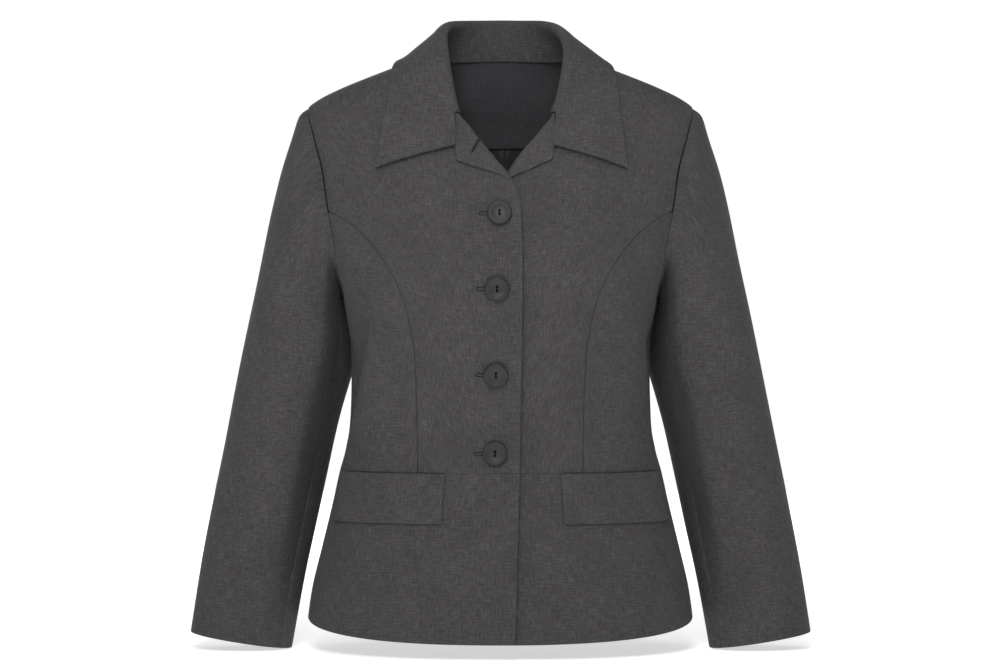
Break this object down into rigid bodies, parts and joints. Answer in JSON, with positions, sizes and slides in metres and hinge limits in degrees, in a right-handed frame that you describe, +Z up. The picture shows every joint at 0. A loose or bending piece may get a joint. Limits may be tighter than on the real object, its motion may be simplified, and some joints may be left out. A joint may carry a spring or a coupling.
{
  "type": "blazer",
  "caption": "Women's hip-length suit blazer filled out to its worn shape, with a pointed open collar, princess seams, flared peplum, pocket flaps and long sleeves",
  "frame": {"origin": "midway between the two shoulders at the level of the neck points, where the wearer's shoulders carry the blazer", "axes": "+Z up; the front faces -Y; +X is towards the wearer's left sleeve"},
  "size_m": [0.6274, 0.2729, 0.6459],
  "materials": {
    "suiting": "matt dark grey plain-weave wool-blend suiting, pressed",
    "lining": "smooth near-black twill lining with a soft sheen",
    "button": "satin dark grey moulded button, faintly mottled"
  },
  "bodies": {
    "root": {"front_right": "suiting", "front_left": "suiting", "side_front_right": "suiting", "side_front_left": "suiting", "back_right": "suiting", "back_left": "suiting", "peplum_front_right": "suiting", "peplum_front_left": "suiting", "peplum_back": "suiting", "top_sleeve_right": "suiting", "top_sleeve_left": "suiting", "under_sleeve_right": "suiting", "under_sleeve_left": "suiting", "collar": "suiting", "lapel_right": "suiting", "lapel_left": "suiting", "pocket_flap_right": "suiting", "pocket_flap_left": "suiting", "back_neck_facing": "suiting", "back_lining": "lining", "button_1": "button", "button_2": "button", "button_3": "button", "button_4": "button"}
  },
  "joints": []
}
